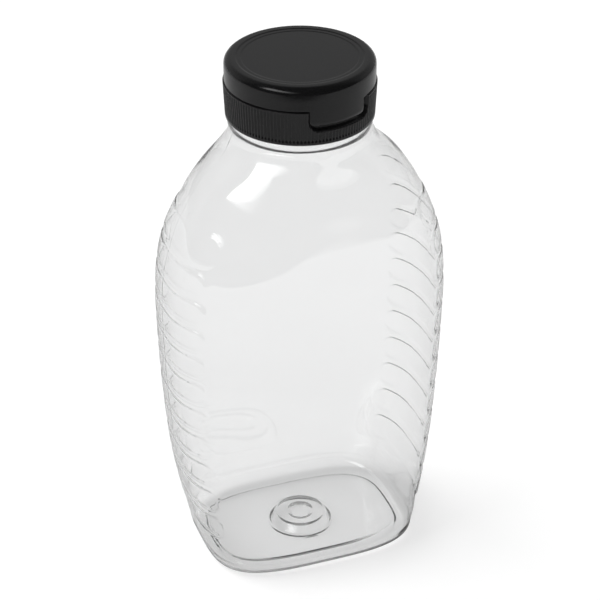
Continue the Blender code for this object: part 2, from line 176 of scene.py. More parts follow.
def oval_points(section, inset):
    """Points of |x/a|^n + |y/b|^n = 1 for every row and column, moved in along the plan normal by inset."""
    a, b, n = [np.asarray(s, float)[:, None] for s in section]
    on_side, sign, fraction = wall_columns()
    along_v = fraction * math.sin(CORNER_ANGLE) ** (2 / n)
    along_u = fraction * math.cos(CORNER_ANGLE) ** (2 / n)
    u = np.where(on_side, sign * (1 - np.abs(along_v) ** n) ** (1 / n), along_u)
    v = np.where(on_side, along_v, sign * (1 - np.abs(along_u) ** n) ** (1 / n))
    safe_a, safe_b = np.maximum(a, 1e-6), np.maximum(b, 1e-6)
    slope_u = np.sign(u) * np.abs(u) ** (n - 1) / safe_a
    slope_v = np.sign(v) * np.abs(v) ** (n - 1) / safe_b
    length = np.hypot(slope_u, slope_v)
    return u * a - inset * slope_u / length, v * b - inset * slope_v / length


def rounded_distance(out, up, corner):
    """Signed distance to a rectangle with corner arcs, from the distances past its arcs' centre lines: the
    hypotenuse of what is above 0, or the larger one where neither is, less the arcs' radius."""
    outside = np.hypot(np.maximum(up, 0), np.maximum(out, 0))
    return outside + np.minimum(np.maximum(up, out), 0) - corner


def pad_fill(height, spread):
    """1 on a grip pad and 0 off it. A pad is a rectangle with corner arcs: the signed distance to that
    outline, over the edge's width, runs through smoothstep. The width falls from the pad's soft lower
    edge to its crisp top edge, is crisp round its ends, and spread widens it."""
    on_side, _, fraction = wall_columns()
    grooves = groove_heights()
    fill = np.zeros((len(height), len(fraction)))
    for k in range(PAD_COUNT):
        low, high = grooves[k], grooves[k + 1]
        end = TOP_PAD_END if k == PAD_COUNT - 1 else PAD_END
        half = (high - low) / 2 - GROOVE_HALF_WIDTH
        up = (np.abs(height - (low + high) / 2) - (half - PAD_CORNER))[:, None]
        out = ((np.abs(fraction) - end) * END_REACH + PAD_CORNER)[None, :]
        climb = smoothstep((height - low) / (high - low))[:, None]
        edge = PAD_LOW_EDGE + (PAD_TOP_EDGE - PAD_LOW_EDGE) * climb
        edge = edge + (PAD_END_EDGE - edge) * smoothstep((out - up) / PAD_CORNER + 0.5) + spread
        fill = np.maximum(fill, smoothstep(0.5 - rounded_distance(out, up, PAD_CORNER) / edge))
    return fill * on_side


def wall_inset(height, spread):
    """How far the wall lies inside the section. The grip pads and the seam stand proud of it, the pads less
    so at the grip's middle. Beside the pads this ends just above the top one, and on the panels it dies
    out slowly up to the neck."""
    on_side, _, fraction = wall_columns()
    grooves = groove_heights()
    beside_pads = smoothstep((grooves[-1] + FADE - height) / FADE)[:, None]
    on_panel = smoothstep((PANEL_FADE_TOP - height) / PANEL_FADE)[:, None]
    above_foot = smoothstep((height - grooves[0] + FADE) / FADE)[:, None]
    toward_panel = smoothstep((np.abs(fraction) - PANEL_MIX_START) / (1 - PANEL_MIX_START))
    fade = (beside_pads + (on_panel - beside_pads) * np.where(on_side, toward_panel, 1.0)) * above_foot
    seam = np.where(on_side, np.exp(-(fraction * SEAM_REACH / SEAM_WIDTH) ** 2), 0.0)
    middle = np.where(on_side, 1 - smoothstep(np.abs(fraction)), 0.0)
    relief = PAD_RELIEF * (1 - (1 - GRIP_MIDDLE_SHARE) * middle)
    return relief * fade * (1 - pad_fill(height, spread)) - SEAM_RIDGE * seam[None, :]


def wall_heights(steps_above, steps_per_pad, top):
    """Row heights from the neck down: even up on the shoulder, then closer together at each groove."""
    grooves = groove_heights()
    t = np.linspace(0, 1, steps_per_pad + 1)[:-1]
    eased = t - ROW_CROWDING * np.sin(2 * math.pi * t) / (2 * math.pi)
    pads = [high - (high - low) * eased for low, high in zip(grooves[-2::-1], grooves[:0:-1])]
    above = np.linspace(top, grooves[-1] + 0.3, steps_above)
    return np.concatenate([above] + pads + [np.linspace(grooves[0], HEEL_HEIGHT + 0.4, ROWS_BY_HEEL)])


def lay_rows(section, height, inset=0.0):
    """Grid of points: one row for each height, one point for each column."""
    x, y = oval_points(section, inset)
    return np.stack([x, y, np.broadcast_to(np.asarray(height, float)[:, None], x.shape)], -1)


def turned_rows(profile):
    """Round rows of the neck and the push-up, one for each (radius, height) of the profile."""
    radius, height = np.array(profile).T
    return lay_rows((radius, radius, np.full(len(radius), 2.0)), height)


def heel_rows(wall, steps):
    """Quarter-ellipse from the upright wall to the foot, a wall's thickness in when wall is above 0."""
    a, b, n = body_section(np.array([HEEL_HEIGHT]))
    angle = np.linspace(0, math.pi / 2, steps)
    inward = 1 - np.cos(angle)
    height = HEEL_HEIGHT * (1 - np.sin(angle)) + wall * np.sin(angle)
    section = (a - wall - HEEL_RUN_X * inward, b - wall - HEEL_RUN_Y * inward, np.repeat(n, steps))
    return lay_rows(section, height)


def recess_rows(lift):
    """From the foot's inner edge up into the recess, then in to a circle round the push-up. The inside face
    is these same rows, lifted by the base's thickness and drawn in by a share of it."""
    a, b, n = [value[0] for value in body_section(np.array([HEEL_HEIGHT]))]
    foot = (a - HEEL_RUN_X - FOOT_WIDTH, b - HEEL_RUN_Y - FOOT_WIDTH)
    t = np.linspace(0, 1, 7)
    drawn_in = lift * BASE_TAPER
    climb = (foot[0] + (RECESS_HALF_WIDTH - foot[0]) * t - drawn_in,
             foot[1] + (RECESS_HALF_DEPTH - foot[1]) * t - drawn_in,
             n + (RECESS_SQUARENESS - n) * t)
    first = lay_rows(climb, RECESS_DEPTH * smoothstep(t) + lift)
    s = np.linspace(0, 1, 12)[1:]
    circle = PUSH_UP_RADIUS + RECESS_APRON
    flat = (RECESS_HALF_WIDTH + (circle - RECESS_HALF_WIDTH) * s - drawn_in * (1 - s),
            RECESS_HALF_DEPTH + (circle - RECESS_HALF_DEPTH) * s - drawn_in * (1 - s),
            RECESS_SQUARENESS + (2.0 - RECESS_SQUARENESS) * smoothstep(s * 1.1))
    return np.concatenate([first, lay_rows(flat, np.full(len(s), RECESS_DEPTH + lift))])


def push_up_rows(lift):
    """The push-up: a round step inside a shallow groove, dished to a small nub at the middle."""
    r = np.concatenate([np.linspace(PUSH_UP_RADIUS + 1.2, 0.15, 40), [0.0]])
    step = PUSH_UP_HEIGHT * smoothstep((PUSH_UP_RADIUS - r) / PUSH_UP_SLOPE)
    groove = PUSH_UP_GROOVE * np.exp(-((r - PUSH_UP_RADIUS - 0.1) / PUSH_UP_GROOVE_WIDTH) ** 2)
    nub = NUB_HEIGHT * smoothstep((NUB_RADIUS + NUB_SLOPE / 2 - r) / NUB_SLOPE)
    return turned_rows(np.stack([r, RECESS_DEPTH + lift + step - groove - nub], 1))


def grid_faces(rows, columns, join_ends):
    """Quads between neighbouring rows and columns. Columns run right round, and rows may close as well."""
    i = np.arange(rows if join_ends else rows - 1)[:, None]
    j = np.arange(columns)[None, :]
    below, beside = (i + 1) % rows, (j + 1) % columns
    corners = [i * columns + j, below * columns + j, below * columns + beside, i * columns + beside]
    return np.stack(np.broadcast_arrays(*corners), -1).reshape(-1, 4)


def surface(name, points, join_ends):
    """A mesh object at the origin from a grid of points in millimetres. A row that shrinks to a point is
    welded, and so is what else lies together."""
    rows, columns = points.shape[:2]
    mesh = bpy.data.meshes.new(name)
    faces = grid_faces(rows, columns, join_ends)
    mesh.vertices.add(rows * columns)
    mesh.vertices.foreach_set("co", (points * MM).astype(np.float32).ravel())
    mesh.loops.add(faces.size)
    mesh.loops.foreach_set("vertex_index", faces.astype(np.int32).ravel())
    mesh.polygons.add(len(faces))
    mesh.polygons.foreach_set("loop_start", np.arange(0, faces.size, 4, dtype=np.int32))
    mesh.update(calc_edges=True)
    thing = bpy.data.objects.new(name, mesh)
    bpy.context.scene.collection.objects.link(thing)
    weld_poles(mesh)
    mesh.shade_smooth()
    return thing


def weld_poles(mesh):
    """Joins points that lie together, so that the poles and the rim close."""
    work = bmesh.new()
    work.from_mesh(mesh)
    bmesh.ops.remove_doubles(work, verts=work.verts, dist=2e-7)
    bmesh.ops.dissolve_degenerate(work, dist=1e-8, edges=work.edges)
    work.to_mesh(mesh)
    work.free()


def shell_points():
    """The whole wall as one closed grid: down the outside, across the base, then up the inside."""
    neck = turned_rows([
        (NECK_BORE_RADIUS + NECK_EDGE, NECK_RIM), (NECK_RADIUS - NECK_EDGE, NECK_RIM),
        (NECK_RADIUS, NECK_RIM - NECK_EDGE), (NECK_RADIUS, BEAD_TOP + NECK_EDGE),
        (NECK_RADIUS + NECK_EDGE, BEAD_TOP), (BEAD_RADIUS - BEAD_ROUND, BEAD_TOP),
        (BEAD_RADIUS - BEAD_CUT, BEAD_TOP - BEAD_CUT), (BEAD_RADIUS, BEAD_TOP - BEAD_ROUND),
        (BEAD_RADIUS, BEAD_BOTTOM + BEAD_ROUND), (BEAD_RADIUS - BEAD_CUT, BEAD_BOTTOM + BEAD_CUT),
        (BEAD_RADIUS - BEAD_ROUND, BEAD_BOTTOM), (NECK_FOOT_RADIUS, BEAD_BOTTOM - 0.05),
    ])
    height = wall_heights(26, 25, OUTSIDE_TOP)
    outside = lay_rows(body_section(height), height, wall_inset(height, 0.0))
    inner_height = wall_heights(20, 14, INSIDE_TOP)
    shoulder = smoothstep((inner_height - SHOULDER_START) / SHOULDER_LENGTH)
    thickness = (WALL + (SHOULDER_WALL - WALL) * shoulder)[:, None]
    inner_inset = wall_inset(inner_height, WALL) + thickness
    inside = lay_rows(body_section(inner_height), inner_height, inner_inset)
    bore = turned_rows([(18.4, 135.6), (17.4, 136.9), (16.2, 138.3), (NECK_BORE_RADIUS, 140.0),
                        (NECK_BORE_RADIUS, NECK_RIM - NECK_EDGE)])
    outer_base = [heel_rows(0.0, 9), recess_rows(0.0), push_up_rows(0.0)]
    inner_base = [push_up_rows(BASE_WALL)[::-1], recess_rows(BASE_WALL)[::-1], heel_rows(WALL, 9)[-2::-1]]
    return np.concatenate([neck, outside] + outer_base + inner_base + [inside[::-1], bore])


def moulded_surface_group():
    """Slow waves and fine grain of a moulded face: a height for the bump and a mask for the gloss."""
    group = bpy.data.node_groups.new("moulded_surface", "ShaderNodeTree")
    for label, value in (("Wave Scale", 60.0), ("Grain Scale", 1500.0), ("Grain Share", 0.2)):
        socket = group.interface.new_socket(label, in_out="INPUT", socket_type="NodeSocketFloat")
        socket.default_value = value
    for label in ("Height", "Mask"):
        group.interface.new_socket(label, in_out="OUTPUT", socket_type="NodeSocketFloat")
    nodes, links = group.nodes, group.links
    inlet = nodes.new("NodeGroupInput")
    outlet = nodes.new("NodeGroupOutput")
    place = nodes.new("ShaderNodeTexCoord")
    wave = nodes.new("ShaderNodeTexNoise")
    wave.inputs["Detail"].default_value = 2.0
    grain = nodes.new("ShaderNodeTexNoise")
    grain.inputs["Detail"].default_value = 4.0
    mix = nodes.new("ShaderNodeMix")
    links.new(place.outputs["Object"], wave.inputs["Vector"])
    links.new(place.outputs["Object"], grain.inputs["Vector"])
    links.new(inlet.outputs["Wave Scale"], wave.inputs["Scale"])
    links.new(inlet.outputs["Grain Scale"], grain.inputs["Scale"])
    links.new(inlet.outputs["Grain Share"], mix.inputs["Factor"])
    links.new(wave.outputs["Fac"], mix.inputs["A"])
    links.new(grain.outputs["Fac"], mix.inputs["B"])
    links.new(mix.outputs["Result"], outlet.inputs["Height"])
    links.new(grain.outputs["Fac"], outlet.inputs["Mask"])
    return group


def place_group(nodes, group, **values):
    """The group in a material, with its own input values."""
    node = nodes.new("ShaderNodeGroup")
    node.node_tree = group
    for label, value in values.items():
        node.inputs[label.replace("_", " ")].default_value = value
    return node


def spread_value(nodes, links, source, low, high):
    """Maps a 0.3 to 0.7 noise value onto low to high."""
    spread = nodes.new("ShaderNodeMapRange")
    spread.inputs["From Min"].default_value = 0.3
    spread.inputs["From Max"].default_value = 0.7
    spread.inputs["To Min"].default_value = low
    spread.inputs["To Max"].default_value = high
    links.new(source, spread.inputs["Value"])
    return spread.outputs["Result"]


MOULDED = moulded_surface_group()


def calculate(nodes, links, operation, *values):
    """One Math node of a formula: each value is a number or another node's output."""
    node = nodes.new("ShaderNodeMath")
    node.operation = operation
    for socket, value in zip(node.inputs, values):
        if isinstance(value, (int, float)):
            socket.default_value = value
        else:
            links.new(value, socket)
    return node.outputs["Value"]


def ramp(nodes, links, source, low, high):
    """Smoothstep of a value: 0 at low and 1 at high, which may be the smaller one."""
    node = nodes.new("ShaderNodeMapRange")
    node.interpolation_type = "SMOOTHSTEP"
    node.inputs["From Min"].default_value = low
    node.inputs["From Max"].default_value = high
    links.new(source, node.inputs["Value"])
    return node.outputs["Result"]


def light_held_back(nodes, links):
    """How far a face holds back straight light, 0 to 1: the cube of how glancing it is, and at least
    HEEL_SHADE down at the thick upright heel."""
    facing = nodes.new("ShaderNodeLayerWeight")
    facing.inputs["Blend"].default_value = 0.5
    grazing = calculate(nodes, links, "POWER", facing.outputs["Facing"], 3.0)
    place = nodes.new("ShaderNodeTexCoord")
    spot = nodes.new("ShaderNodeSeparateXYZ")
    links.new(place.outputs["Object"], spot.inputs["Vector"])
    slant = nodes.new("ShaderNodeSeparateXYZ")
    links.new(place.outputs["Normal"], slant.inputs["Vector"])
    low = ramp(nodes, links, spot.outputs["Z"], HEEL_SHADE_TOP * MM, HEEL_SHADE_FOOT * MM)
    upright = ramp(nodes, links, calculate(nodes, links, "ABSOLUTE", slant.outputs["Z"]), 0.95, 0.7)
    heel = calculate(nodes, links, "MULTIPLY", low, upright)
    shade = calculate(nodes, links, "MULTIPLY", heel, HEEL_SHADE)
    return calculate(nodes, links, "MAXIMUM", grazing, shade)


def clear_plastic():
    """Clear polyester: refracts at both faces of the wall, and lets lamp and floor light straight through,
    less so at glancing faces and at the heel, so that its shadow stays light."""
    material = bpy.data.materials.new("clear_plastic")
    material.use_nodes = True
    nodes, links = material.node_tree.nodes, material.node_tree.links
    shader = nodes["Principled BSDF"]
    shader.inputs["Base Color"].default_value = BOTTLE_COLOUR
    shader.inputs["Transmission Weight"].default_value = 1.0
    shader.inputs["IOR"].default_value = BOTTLE_IOR
    texture = place_group(nodes, MOULDED, Wave_Scale=45.0, Grain_Scale=700.0, Grain_Share=0.04)
    haze = spread_value(nodes, links, texture.outputs["Mask"], 0.0, BOTTLE_ROUGHNESS)
    links.new(haze, shader.inputs["Roughness"])
    bump = nodes.new("ShaderNodeBump")
    bump.inputs["Strength"].default_value = BOTTLE_WAVE
    bump.inputs["Distance"].default_value = BOTTLE_BUMP
    links.new(texture.outputs["Height"], bump.inputs["Height"])
    links.new(bump.outputs["Normal"], shader.inputs["Normal"])
    path = nodes.new("ShaderNodeLightPath")
    from_lamp, from_floor = path.outputs["Is Shadow Ray"], path.outputs["Is Diffuse Ray"]
    either = calculate(nodes, links, "MAXIMUM", from_lamp, from_floor)
    edge = nodes.new("ShaderNodeMix")
    edge.data_type = "RGBA"
    edge.inputs["A"].default_value = (0.0, 0.0, 0.0, 1.0)
    edge.inputs["B"].default_value = (GLANCING_FACE_TINT,) * 3 + (1.0,)
    links.new(from_floor, edge.inputs["Factor"])
    tint = nodes.new("ShaderNodeMix")
    tint.data_type = "RGBA"
    tint.inputs["A"].default_value = (CLEAR_FACE_TINT,) * 3 + (1.0,)
    links.new(edge.outputs["Result"], tint.inputs["B"])
    links.new(light_held_back(nodes, links), tint.inputs["Factor"])
    through = nodes.new("ShaderNodeBsdfTransparent")
    links.new(tint.outputs["Result"], through.inputs["Color"])
    blend = nodes.new("ShaderNodeMixShader")
    links.new(either, blend.inputs["Fac"])
    links.new(shader.outputs["BSDF"], blend.inputs[1])
    links.new(through.outputs["BSDF"], blend.inputs[2])
    links.new(blend.outputs["Shader"], nodes["Material Output"].inputs["Surface"])
    return material


bottle = surface("clear_bottle", shell_points(), join_ends=True)
bottle.data.materials.append(clear_plastic())
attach(bottle, "bottle")
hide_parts("bottle_shell")


# The cap base: black polypropylene, moulded with fine upright ribs for the
# hand, a scoop in front for the thumb, and a raised spout on its deck. It is
# screwed onto the neck and has stopped a few degrees past square.

CAP_TURN = math.radians(10.8)
SKIRT_BOTTOM = 139.43
SKIRT_BOTTOM_RADIUS = 20.55
SKIRT_TOP_RADIUS = 21.05
SKIRT_BORE_RADIUS = 18.4
CAP_SEAM = 149.35
DECK_TOP = 150.3
DECK_UNDERSIDE = NECK_RIM + 0.3
DECK_STEP_RADIUS = 19.2
SPOUT_RADIUS = 5.4
SPOUT_TOP = 152.5
ORIFICE_RADIUS = 3.175
RIB_COUNT = 132
RIB_DEPTH = 0.28
RIB_ROUNDNESS = 1.5
RIB_COLUMNS = 6
PLAIN_HEM = 0.9
PLAIN_TOP = 0.15
SCOOP_START = math.radians(-24.35)
SCOOP_END = math.radians(30.2)
SCOOP_FLOOR_RADIUS = 19.25
SCOOP_BOTTOM = 143.6
SCOOP_CORNER = 3.0
SCOOP_EDGE = 0.25
HINGE_HALF_ANGLE = math.radians(14.0)
HINGE_PAD_SLOPE = math.radians(4.0)
SKIRT_HINGE_PAD = 0.1
HINGE_PAD_HEIGHT = 2.4
BLACK = (0.004, 0.004, 0.0042)
BLACK_IOR = 1.4
SKIRT_ROUGHNESS = 0.22
SKIRT_BUMP = 0.00006


def hinge_bulge(angle, full):
    """A hinge pad stands out at the back alone: smoothstep of the angle from there."""
    from_back = math.pi - np.abs(np.remainder(angle + math.pi, 2 * math.pi) - math.pi)
    return full * smoothstep((HINGE_HALF_ANGLE - from_back) / HINGE_PAD_SLOPE + 0.5)


def scoop_fill(angle, height):
    """1 inside the thumb scoop: signed distance to a rectangle on the skirt with two round lower corners,
    over the edge's width, through smoothstep."""
    along = angle * SKIRT_TOP_RADIUS
    left, right = SCOOP_START * SKIRT_TOP_RADIUS, SCOOP_END * SKIRT_TOP_RADIUS
    out = np.abs(along - (left + right) / 2) - (right - left) / 2 + SCOOP_CORNER
    down = SCOOP_BOTTOM - height + SCOOP_CORNER
    return smoothstep(0.5 - rounded_distance(out, down, SCOOP_CORNER) / SCOOP_EDGE)


def skirt_points(angle, height):
    """Skirt outside: a cone, less rounded grooves between the ribs, less the scoop, plus the hinge pad."""
    share = (height - SKIRT_BOTTOM) / (CAP_SEAM - SKIRT_BOTTOM)
    radius = SKIRT_BOTTOM_RADIUS + share * (SKIRT_TOP_RADIUS - SKIRT_BOTTOM_RADIUS)
    scoop = scoop_fill(angle, height)
    pad = hinge_bulge(angle, SKIRT_HINGE_PAD) * smoothstep((height - CAP_SEAM + HINGE_PAD_HEIGHT) / 0.6)
    above_hem = smoothstep((height - SKIRT_BOTTOM - PLAIN_HEM) / 0.3)
    below_seam = smoothstep((CAP_SEAM - PLAIN_TOP - height) / 0.2)
    off_pad = 1 - smoothstep(pad / SKIRT_HINGE_PAD)
    groove = (0.5 + 0.5 * np.cos(angle * RIB_COUNT)) ** RIB_ROUNDNESS
    radius = radius - RIB_DEPTH * groove * above_hem * below_seam * off_pad + pad
    return radius + (SCOOP_FLOOR_RADIUS - radius) * scoop


def turn_points(radius, height, angle):
    """Cylinder coordinates to x, y, z: angle 0 is the cap's front, and CAP_TURN turns it on the neck."""
    turned = angle + CAP_TURN
    radius, height, turned = np.broadcast_arrays(radius, height, turned)
    return np.stack([radius * np.sin(turned), -radius * np.cos(turned), height], -1)


def cap_base_points():
    """Closed rows up the pouring hole, over the spout and the deck, down the ribs and the hem, then up the
    bore to the deck's underside."""
    columns = RIB_COUNT * RIB_COLUMNS
    angle = (np.arange(columns) / columns * 2 - 1)[None, :] * math.pi
    up = np.concatenate([SKIRT_BOTTOM + np.array([0.12, 0.4, 0.8, 1.0, 1.2]),
                         np.linspace(SKIRT_BOTTOM + 1.6, CAP_SEAM - 0.45, 34),
                         CAP_SEAM - np.array([0.3, 0.2, 0.1])])[::-1, None]
    skirt = turn_points(skirt_points(angle, up), up, angle)
    rim = SKIRT_TOP_RADIUS + hinge_bulge(angle, SKIRT_HINGE_PAD) - 0.1
    inner_rim = rim + (SCOOP_FLOOR_RADIUS - rim) * scoop_fill(angle, np.array([[CAP_SEAM]]))
    over = [
        (ORIFICE_RADIUS, DECK_UNDERSIDE), (ORIFICE_RADIUS, SPOUT_TOP - 0.3),
        (ORIFICE_RADIUS + 0.1, SPOUT_TOP - 0.1), (ORIFICE_RADIUS + 0.3, SPOUT_TOP),
        (SPOUT_RADIUS - 0.4, SPOUT_TOP), (SPOUT_RADIUS - 0.12, SPOUT_TOP - 0.12),
        (SPOUT_RADIUS, SPOUT_TOP - 0.4), (SPOUT_RADIUS, DECK_TOP + 0.8),
        (SPOUT_RADIUS + 0.25, DECK_TOP + 0.25), (SPOUT_RADIUS + 0.8, DECK_TOP),
        (DECK_STEP_RADIUS - 0.2, DECK_TOP), (DECK_STEP_RADIUS, DECK_TOP - 0.2),
        (DECK_STEP_RADIUS, CAP_SEAM + 0.05),
    ]
    under = [
        (SKIRT_BOTTOM_RADIUS - 0.12, SKIRT_BOTTOM), (SKIRT_BORE_RADIUS + 0.2, SKIRT_BOTTOM),
        (SKIRT_BORE_RADIUS, SKIRT_BOTTOM + 0.2), (SKIRT_BORE_RADIUS, DECK_UNDERSIDE),
    ]
    top = [turn_points(r, z, angle) for r, z in over]
    ledge = [turn_points(DECK_STEP_RADIUS + 0.02, CAP_SEAM, angle), turn_points(inner_rim, CAP_SEAM, angle)]
    bottom = [turn_points(r, z, angle) for r, z in under]
    return np.concatenate([np.concatenate(top), np.concatenate(ledge), skirt, np.concatenate(bottom)])


def black_plastic(name, roughness, bump_depth):
    """Black polypropylene: a soft sheen that the moulding's grain breaks up, with faint pale dust."""
    material = bpy.data.materials.new(name)
    material.use_nodes = True
    nodes, links = material.node_tree.nodes, material.node_tree.links
    shader = nodes["Principled BSDF"]
    shader.inputs["IOR"].default_value = BLACK_IOR
    texture = place_group(nodes, MOULDED, Wave_Scale=120.0, Grain_Scale=2200.0, Grain_Share=0.5)
    sheen = spread_value(nodes, links, texture.outputs["Mask"], roughness - 0.05, roughness + 0.06)
    links.new(sheen, shader.inputs["Roughness"])
    shade = nodes.new("ShaderNodeMix")
    shade.data_type = "RGBA"
    shade.inputs["A"].default_value = (*BLACK, 1.0)
    shade.inputs["B"].default_value = (*[c * 1.5 + 0.001 for c in BLACK], 1.0)
    links.new(spread_value(nodes, links, texture.outputs["Mask"], 0.0, 1.0), shade.inputs["Factor"])
    links.new(shade.outputs["Result"], shader.inputs["Base Color"])
    bump = nodes.new("ShaderNodeBump")
    bump.inputs["Strength"].default_value = 0.3
    bump.inputs["Distance"].default_value = bump_depth
    links.new(texture.outputs["Height"], bump.inputs["Height"])
    links.new(bump.outputs["Normal"], shader.inputs["Normal"])
    return material


cap_base = surface("ribbed_cap_base", cap_base_points(), join_ends=True)
cap_base.data.materials.append(black_plastic("black_plastic", SKIRT_ROUGHNESS, SKIRT_BUMP))
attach(cap_base, "bottle")
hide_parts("cap_base")


# The flip lid: the same black plastic with a smoother face, moulded in one
# with the base through a thin strip at the back. Its lip hangs into the scoop,
# and a short plug under its middle shuts the pouring hole.

LID_RADIUS = 20.7
LID_BORE_RADIUS = 19.6
LID_TOP = 156.2
LID_RIM_ROUND = 1.9
DISH_RADIUS = 17.4
DISH_DEPTH = 0.12
INNER_DISH_RADIUS = 16.0
INNER_DISH_DEPTH = 0.08
LID_CEILING = 154.7
PLUG_RADIUS = 2.6
PLUG_BOTTOM = 151.9
LIP_HALF_ANGLE = math.radians(24.0)
LIP_BOTTOM = 145.3
LIP_CORNER = 1.2
LID_GAP = 0.12
LID_EDGE = 0.12
LID_HINGE_PAD = 0.45
LID_ROUGHNESS = 0.16
LID_BUMP = 0.00004


def lid_angles():
    """Angles round the lid, with extra ones where the lip's two ends drop from the band."""
    even = np.linspace(-math.pi, math.pi, 241)[:-1]
    beside = LIP_HALF_ANGLE + 0.0015
    inside = LIP_HALF_ANGLE - LIP_CORNER / LID_RADIUS * np.linspace(0, 1, 9)
    extra = np.append(beside, inside)
    both = np.concatenate([-extra, extra])
    keep = even[np.min(np.abs(even[:, None] - both[None, :]), axis=1) > 0.004]
    return np.sort(np.concatenate([keep, both]))[None, :]


def lid_edge(angle):
    """Height of the band's lower edge: the seam, and lower along the lip, whose corners are quarter
    circles."""
    away = (LIP_HALF_ANGLE - np.abs(angle)) * LID_RADIUS
    t = np.clip(1 - away / LIP_CORNER, 0.0, 1.0)
    lip = LIP_BOTTOM + LIP_CORNER * (1 - np.sqrt(1 - t * t))
    return np.where(away < -1e-6, CAP_SEAM + LID_GAP, lip)


def lid_points():
    """Rows from the top's middle over the dish and the rim, down the band, then up inside to the plug."""
    angle = lid_angles()
    low = lid_edge(angle)
    bulge = hinge_bulge(angle, LID_HINGE_PAD)
    rows = []
    radii = np.concatenate([[0.0, 8.0], np.linspace(INNER_DISH_RADIUS - 0.6, DISH_RADIUS + 0.3, 22)])
    drops = DISH_DEPTH * smoothstep((DISH_RADIUS + 0.2 - radii) / 0.5)
    drops += INNER_DISH_DEPTH * smoothstep((INNER_DISH_RADIUS + 0.2 - radii) / 0.4)
    for radius, drop in zip(radii, drops):
        rows.append(turn_points(radius, LID_TOP - drop, angle))
    for turn in np.linspace(math.pi / 2, 0, 10):
        rows.append(turn_points(LID_RADIUS - LID_RIM_ROUND * (1 - math.cos(turn)),
                                LID_TOP - LID_RIM_ROUND * (1 - math.sin(turn)), angle))
    pad_top = CAP_SEAM + HINGE_PAD_HEIGHT
    rows.append(turn_points(LID_RADIUS, pad_top + 0.3, angle))
    rows.append(turn_points(LID_RADIUS + bulge, pad_top - 0.3, angle))
    band = pad_top - 0.3 - low - LID_EDGE
    for share in (0.3, 0.6, 0.85, 1.0):
        rows.append(turn_points(LID_RADIUS + bulge, pad_top - 0.3 - band * share, angle))
    rows.append(turn_points(LID_RADIUS + bulge - LID_EDGE, low, angle))
    rows.append(turn_points(LID_BORE_RADIUS, low, angle))
    for radius, height in ((LID_BORE_RADIUS, pad_top), (LID_BORE_RADIUS, LID_CEILING - 0.3),
                           (LID_BORE_RADIUS - 0.3, LID_CEILING), (PLUG_RADIUS + 0.3, LID_CEILING),
                           (PLUG_RADIUS, LID_CEILING - 0.3), (PLUG_RADIUS, PLUG_BOTTOM + 0.4),
                           (PLUG_RADIUS - 0.4, PLUG_BOTTOM), (0.0, PLUG_BOTTOM)):
        rows.append(turn_points(radius, height, angle))
    return np.concatenate([np.broadcast_to(row, (1, angle.shape[1], 3)) for row in rows])


lid = surface("flip_lid_cover", lid_points(), join_ends=False)
lid.data.materials.append(black_plastic("black_lid_plastic", LID_ROUGHNESS, LID_BUMP))
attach(lid, "lid")
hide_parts("flip_lid")


# The studio, in metres: a pale floor, white all round, and a soft light from the
# left. Only mirrored rays find the room itself, unlit where the camera stands, so
# the plastic reflects a dark room while what shows through it stays white.

VIEW_AZIMUTH = math.radians(-20.30)
VIEW_ELEVATION = math.radians(31.66)
VIEW_DISTANCE = 0.65349
AIM_HEIGHT = 0.07887
LENS_FOCUS_PIXELS = 2276.94
PICTURE_PIXELS = 600.0
SENSOR_WIDTH = 36.0
FLOOR_HALF = 4.0
FLOOR_EDGE = 0.347
FLOOR_GLOW = 0.13
FLOOR_WHITE = 0.9
DARK_SIDE = 0.02
OPEN_LIGHT = 0.78
WALL_BRIGHTNESS = 0.45
WALL_TOP = 20.0
CEILING_EDGE = 75.0
LAMP_AZIMUTH = math.radians(-118.0)
LAMP_ELEVATION = math.radians(48.0)
LAMP_SPREAD = math.radians(60.0)
LAMP_STRENGTH = 1.9

# The soft box that mirrored rays find: azimuths in degrees, and its foot and top as
# heights on an upright plane one unit away, square to the middle azimuth
BOX_FIRST_AZIMUTH = -80.4
BOX_LAST_AZIMUTH = -40.0
BOX_LAST_FADE = 22.0
BOX_MIDDLE_AZIMUTH = -93.5
BOX_FOOT_RISE = 0.55
BOX_TOP_RISE = 1.3
BOX_BRIGHTNESS = 5.0


def direction(azimuth, elevation):
    """Unit vector from the bottle: azimuth 0 is -Y, and 90 degrees is +X."""
    flat = math.cos(elevation)
    return np.array([math.sin(azimuth) * flat, -math.cos(azimuth) * flat, math.sin(elevation)])


def aim(thing, place, target):
    """Puts a lamp or the camera at a place, facing the target, with its top up."""
    look = Vector(target) - Vector(place)
    thing.location = place
    thing.rotation_euler = look.to_track_quat("-Z", "Y").to_euler()


def reflected_only(nodes, links):
    """1 for a ray that was mirrored at least once, and 0 for one that came straight or was refracted."""
    path = nodes.new("ShaderNodeLightPath")
    return calculate(nodes, links, "GREATER_THAN", path.outputs["Glossy Depth"], 0.5)


